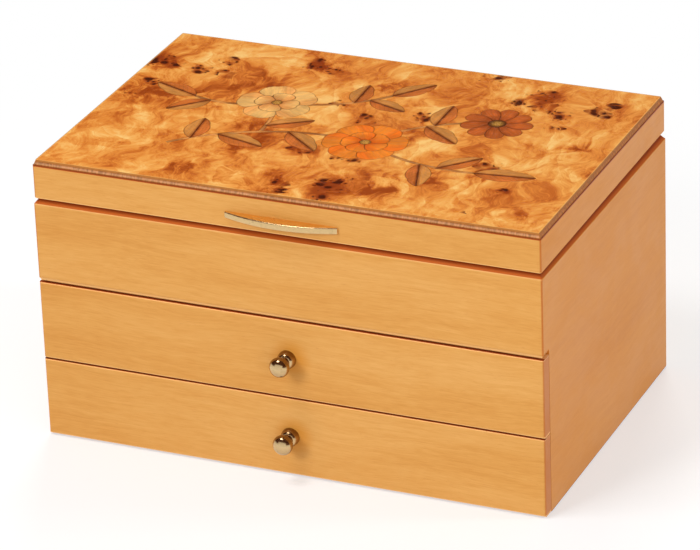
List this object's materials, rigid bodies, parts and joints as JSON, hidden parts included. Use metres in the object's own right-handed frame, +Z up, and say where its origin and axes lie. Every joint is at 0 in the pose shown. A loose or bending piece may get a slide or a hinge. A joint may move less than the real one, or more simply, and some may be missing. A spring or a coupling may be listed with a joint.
{
  "type": "jewelry box",
  "caption": "Wooden jewelry box: hinged lid with burl veneer, floral inlay and brass lip pull, lined tray with ring rolls under it, and sliding drawers with turned brass knobs.",
  "frame": {"origin": "centre of the box's plan, on the underside of the base felt", "axes": "+X to the right seen from the drawers, +Y to the back, +Z up"},
  "size_m": [0.292, 0.206, 0.165],
  "materials": {
    "honey_wood": "satin lacquer",
    "plywood": "sealed",
    "drawer_wood": "sealed",
    "runner_wood": "waxed",
    "lid_edge": "satin lacquer",
    "burl": "gloss lacquer",
    "inlay_orange": "gloss lacquer",
    "inlay_cream": "gloss lacquer",
    "inlay_russet": "gloss lacquer",
    "inlay_heart": "gloss lacquer",
    "inlay_olive": "gloss lacquer",
    "inlay_brown": "gloss lacquer",
    "inlay_stem": "gloss lacquer",
    "brass": "polished",
    "steel": "bright",
    "mirror": "silvered glass",
    "suede": "brushed suede cloth",
    "felt": "felt"
  },
  "bodies": {
    "case": {"back_panel": "honey_wood", "base_felt": "felt", "base_panel": "plywood", "hinge_case_leaf_left": "brass", "hinge_case_leaf_right": "brass", "hinge_case_screws": "brass", "hinge_pin_left": "brass", "hinge_pin_right": "brass", "left_side_panel": "honey_wood", "long_divider": "suede", "lower_runner_left": "runner_wood", "lower_runner_right": "runner_wood", "right_side_panel": "honey_wood", "ring_divider": "suede", "ring_rolls": "suede", "short_divider": "suede", "tier_front_panel": "honey_wood", "tray_floor": "plywood", "tray_floor_lining": "suede", "tray_wall_lining": "suede", "upper_runner_left": "runner_wood", "upper_runner_right": "runner_wood"},
    "lid": {"burl_veneer": "burl", "hinge_lid_leaf_left": "brass", "hinge_lid_leaf_right": "brass", "hinge_lid_screws": "brass", "inlay_cream_petals": "inlay_cream", "inlay_dark_leaves": "inlay_brown", "inlay_hearts": "inlay_heart", "inlay_light_leaves": "inlay_olive", "inlay_orange_petals": "inlay_orange", "inlay_russet_petals": "inlay_russet", "inlay_stems": "inlay_stem", "lid_back_rail": "honey_wood", "lid_front_rail": "honey_wood", "lid_left_rail": "honey_wood", "lid_mirror": "mirror", "lid_pull": "brass", "lid_right_rail": "honey_wood", "lid_top_panel": "lid_edge", "mirror_surround": "suede", "pull_screws": "steel"},
    "upper_drawer": {"upper_drawer_back": "drawer_wood", "upper_drawer_bottom": "plywood", "upper_drawer_dividers": "suede", "upper_drawer_front": "honey_wood", "upper_drawer_knob": "brass", "upper_drawer_knob_screw": "steel", "upper_drawer_left_side": "drawer_wood", "upper_drawer_lining": "suede", "upper_drawer_right_side": "drawer_wood"},
    "lower_drawer": {"lower_drawer_back": "drawer_wood", "lower_drawer_bottom": "plywood", "lower_drawer_front": "honey_wood", "lower_drawer_knob": "brass", "lower_drawer_knob_screw": "steel", "lower_drawer_left_side": "drawer_wood", "lower_drawer_lining": "suede", "lower_drawer_right_side": "drawer_wood"}
  },
  "joints": [
    {"name": "lid_hinge", "type": "hinge", "parent": "case", "child": "lid", "pos_m": [0, 0.09325, 0.1425], "axis": [-1, 0, 0], "range_deg": [0, 95]},
    {"name": "upper_drawer_slide", "type": "slide", "parent": "case", "child": "upper_drawer", "axis": [0, -1, 0], "range_m": [0, 0.12]},
    {"name": "lower_drawer_slide", "type": "slide", "parent": "case", "child": "lower_drawer", "axis": [0, -1, 0], "range_m": [0, 0.12]}
  ]
}
